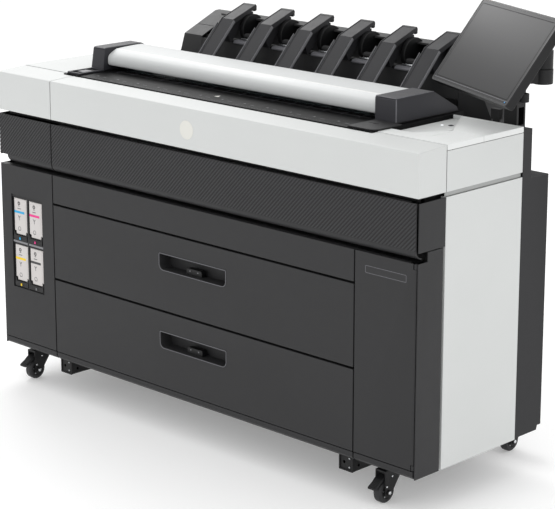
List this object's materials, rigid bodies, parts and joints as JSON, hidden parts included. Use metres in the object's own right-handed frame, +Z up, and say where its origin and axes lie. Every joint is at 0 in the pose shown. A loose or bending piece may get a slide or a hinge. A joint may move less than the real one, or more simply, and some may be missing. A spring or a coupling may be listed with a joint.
{
  "type": "large format plotter",
  "caption": "Floor-standing large format plotter with a top scanner, roll drawers, ink bay, rear stacker and a touch screen on an arm.",
  "frame": {"origin": "bottom centre of the bounding box, on the floor", "axes": "+X to the machine's right as seen from the front, +Y to its back, +Z up"},
  "size_m": [1.7436, 0.69, 1.2229],
  "materials": {
    "dark_panel": "satin charcoal",
    "white_cover": "fine satin white",
    "black_plastic": "satin black",
    "black_metal": "black powder coat",
    "dark_metal": "charcoal powder coat",
    "bare_steel": "brushed",
    "rubber_roller": "matt",
    "wheel_tread": "matt",
    "paper": "matt paper",
    "cartridge_shell": "satin",
    "scan_glass": "clear",
    "screen_front": "smooth, dark",
    "screen_case": "satin black"
  },
  "bodies": {
    "machine_body": {"base_frame": "black_metal", "main_chassis": "black_metal", "left_front_panel": "dark_panel", "ink_bay": "black_plastic", "corner_panels": "dark_panel", "plinth_strip": "dark_panel", "upper_front_panel": "dark_panel", "side_panels": "white_cover", "back_cover": "dark_metal", "band_end_panels": "dark_panel", "front_cover": "white_cover", "upper_side_housings": "white_cover", "top_right_lids": "white_cover", "scanner_bed": "black_plastic", "scanner_glass": "scan_glass", "scanner_end_caps": "black_plastic", "platen": "bare_steel", "carriage_rail": "bare_steel", "drive_belt": "rubber_roller", "service_station": "black_plastic", "electronics_box": "bare_steel", "stacker_trough": "dark_metal", "stacker_arms": "dark_metal", "screen_post": "black_metal"},
    "drawer_lower": {"drawer_front_lower": "dark_panel", "drawer_tray_lower": "bare_steel"},
    "drawer_upper": {"drawer_front_upper": "dark_panel", "drawer_tray_upper": "bare_steel"},
    "roll_lower": {"spindle_lower": "black_plastic", "paper_roll_lower": "paper"},
    "roll_upper": {"spindle_upper": "black_plastic", "paper_roll_upper": "paper"},
    "screen": {"screen_shell": "screen_case", "screen_glass": "screen_front"},
    "caster_fork_front_left_body": {"caster_fork_front_left": "black_metal"},
    "caster_fork_front_right_body": {"caster_fork_front_right": "black_metal"},
    "caster_fork_rear_left_body": {"caster_fork_rear_left": "black_metal"},
    "caster_fork_rear_right_body": {"caster_fork_rear_right": "black_metal"},
    "caster_wheel_front_left_body": {"caster_wheel_front_left": "wheel_tread"},
    "caster_wheel_front_right_body": {"caster_wheel_front_right": "wheel_tread"},
    "caster_wheel_rear_left_body": {"caster_wheel_rear_left": "wheel_tread"},
    "caster_wheel_rear_right_body": {"caster_wheel_rear_right": "wheel_tread"},
    "brake_pedal_left_body": {"brake_pedal_left": "black_metal"},
    "brake_pedal_right_body": {"brake_pedal_right": "black_metal"},
    "ink_cartridge_cyan_body": {"ink_cartridge_cyan": "cartridge_shell"},
    "ink_cartridge_magenta_body": {"ink_cartridge_magenta": "cartridge_shell"},
    "ink_cartridge_yellow_body": {"ink_cartridge_yellow": "cartridge_shell"},
    "ink_cartridge_black_body": {"ink_cartridge_black": "cartridge_shell"},
    "right_front_door_body": {"right_front_door": "dark_panel"},
    "print_zone_cover_body": {"print_zone_cover": "dark_panel"},
    "scanner_lid_body": {"scanner_lid": "white_cover"},
    "scanner_roller_body": {"scanner_roller": "rubber_roller"},
    "feed_roller_body": {"feed_roller": "rubber_roller"},
    "print_carriage_body": {"print_carriage": "black_plastic"},
    "belt_pulley_body": {"belt_pulley": "bare_steel"},
    "cooling_fan_body": {"cooling_fan": "black_plastic"},
    "power_button_body": {"power_button": "black_plastic"},
    "stacker_roller_body": {"stacker_roller": "rubber_roller"},
    "screen_arm_body": {"screen_arm": "black_metal"},
    "screen_yoke_body": {"screen_yoke": "black_metal"}
  },
  "joints": [
    {"name": "drawer_slide_lower", "type": "slide", "parent": "machine_body", "child": "drawer_lower", "axis": [0, -1, 0], "range_m": [0, 0.3]},
    {"name": "roll_spin_lower", "type": "hinge", "parent": "drawer_lower", "child": "roll_lower", "pos_m": [-0.07181, -0.145, 0.2255], "axis": [1, 0, 0], "continuous": true},
    {"name": "drawer_slide_upper", "type": "slide", "parent": "machine_body", "child": "drawer_upper", "axis": [0, -1, 0], "range_m": [0, 0.3]},
    {"name": "roll_spin_upper", "type": "hinge", "parent": "drawer_upper", "child": "roll_upper", "pos_m": [-0.07181, -0.145, 0.447], "axis": [1, 0, 0], "continuous": true},
    {"name": "cartridge_slide_cyan", "type": "slide", "parent": "machine_body", "child": "ink_cartridge_cyan_body", "axis": [0, -1, 0], "range_m": [0, 0.15]},
    {"name": "cartridge_slide_magenta", "type": "slide", "parent": "machine_body", "child": "ink_cartridge_magenta_body", "axis": [0, -1, 0], "range_m": [0, 0.15]},
    {"name": "cartridge_slide_yellow", "type": "slide", "parent": "machine_body", "child": "ink_cartridge_yellow_body", "axis": [0, -1, 0], "range_m": [0, 0.15]},
    {"name": "cartridge_slide_black", "type": "slide", "parent": "machine_body", "child": "ink_cartridge_black_body", "axis": [0, -1, 0], "range_m": [0, 0.15]},
    {"name": "caster_swivel_front_left", "type": "hinge", "parent": "machine_body", "child": "caster_fork_front_left_body", "pos_m": [-0.80781, -0.263, 0.1], "axis": [0, 0, 1], "continuous": true},
    {"name": "wheel_spin_front_left", "type": "hinge", "parent": "caster_fork_front_left_body", "child": "caster_wheel_front_left_body", "pos_m": [-0.80781, -0.288, 0.029], "axis": [1, 0, 0], "continuous": true},
    {"name": "caster_swivel_rear_left", "type": "hinge", "parent": "machine_body", "child": "caster_fork_rear_left_body", "pos_m": [-0.80781, 0.248, 0.1], "axis": [0, 0, 1], "continuous": true},
    {"name": "wheel_spin_rear_left", "type": "hinge", "parent": "caster_fork_rear_left_body", "child": "caster_wheel_rear_left_body", "pos_m": [-0.80781, 0.223, 0.029], "axis": [1, 0, 0], "continuous": true},
    {"name": "caster_swivel_front_right", "type": "hinge", "parent": "machine_body", "child": "caster_fork_front_right_body", "pos_m": [0.58119, -0.263, 0.1], "axis": [0, 0, 1], "continuous": true},
    {"name": "wheel_spin_front_right", "type": "hinge", "parent": "caster_fork_front_right_body", "child": "caster_wheel_front_right_body", "pos_m": [0.58119, -0.288, 0.029], "axis": [1, 0, 0], "continuous": true},
    {"name": "caster_swivel_rear_right", "type": "hinge", "parent": "machine_body", "child": "caster_fork_rear_right_body", "pos_m": [0.58119, 0.248, 0.1], "axis": [0, 0, 1], "continuous": true},
    {"name": "wheel_spin_rear_right", "type": "hinge", "parent": "caster_fork_rear_right_body", "child": "caster_wheel_rear_right_body", "pos_m": [0.58119, 0.223, 0.029], "axis": [1, 0, 0], "continuous": true},
    {"name": "brake_tilt_left", "type": "hinge", "parent": "caster_fork_front_left_body", "child": "brake_pedal_left_body", "pos_m": [-0.80781, -0.297, 0.068], "axis": [1, 0, 0], "range_deg": [0, 12]},
    {"name": "brake_tilt_right", "type": "hinge", "parent": "caster_fork_front_right_body", "child": "brake_pedal_right_body", "pos_m": [0.58119, -0.297, 0.068], "axis": [1, 0, 0], "range_deg": [0, 12]},
    {"name": "right_door_swing", "type": "hinge", "parent": "machine_body", "child": "right_front_door_body", "pos_m": [0.72019, -0.341, 0.4], "axis": [0, 0, 1], "range_deg": [0, 95]},
    {"name": "print_cover_swing", "type": "hinge", "parent": "machine_body", "child": "print_zone_cover_body", "pos_m": [0.04419, -0.333, 0.8], "axis": [-1, 0, 0], "range_deg": [0, 70]},
    {"name": "scanner_lid_swing", "type": "hinge", "parent": "machine_body", "child": "scanner_lid_body", "pos_m": [-0.10481, -0.011, 0.968], "axis": [-1, 0, 0], "range_deg": [0, 75]},
    {"name": "scanner_roller_spin", "type": "hinge", "parent": "machine_body", "child": "scanner_roller_body", "pos_m": [-0.09681, -0.13, 0.9265], "axis": [1, 0, 0], "continuous": true},
    {"name": "feed_roller_spin", "type": "hinge", "parent": "machine_body", "child": "feed_roller_body", "pos_m": [-0.06881, -0.127, 0.686], "axis": [1, 0, 0], "continuous": true},
    {"name": "carriage_slide", "type": "slide", "parent": "machine_body", "child": "print_carriage_body", "axis": [-1, 0, 0], "range_m": [0, 1.2]},
    {"name": "belt_pulley_spin", "type": "hinge", "parent": "machine_body", "child": "belt_pulley_body", "pos_m": [0.65819, -0.045, 0.757], "axis": [0, -1, 0], "continuous": true},
    {"name": "fan_spin", "type": "hinge", "parent": "machine_body", "child": "cooling_fan_body", "pos_m": [0.30819, 0.142, 0.64], "axis": [0, 1, 0], "continuous": true},
    {"name": "power_button_press", "type": "slide", "parent": "machine_body", "child": "power_button_body", "axis": [0, 0, -1], "range_m": [0, 0.0015], "stiffness_N_per_m": 300, "springref_m": -0.001},
    {"name": "stacker_roller_spin", "type": "hinge", "parent": "machine_body", "child": "stacker_roller_body", "pos_m": [-0.06881, 0.203, 1], "axis": [1, 0, 0], "continuous": true},
    {"name": "screen_arm_swing", "type": "hinge", "parent": "machine_body", "child": "screen_arm_body", "pos_m": [0.66919, 0.093, 1.05], "axis": [0, 0, 1], "range_deg": [-10, 40]},
    {"name": "screen_yoke_swing", "type": "hinge", "parent": "screen_arm_body", "child": "screen_yoke_body", "pos_m": [0.70819, 0.153, 1.09], "axis": [0, 0, 1], "range_deg": [-12, 50]},
    {"name": "screen_tilt", "type": "hinge", "parent": "screen_yoke_body", "child": "screen", "pos_m": [0.66955, 0.06621, 1.095], "axis": [0.9135, -0.4067, 0], "range_deg": [-18, 25]}
  ],
  "couplings": [
    {"joint": "belt_pulley_spin", "follows": "carriage_slide", "rad_per_m": 83.333}
  ]
}
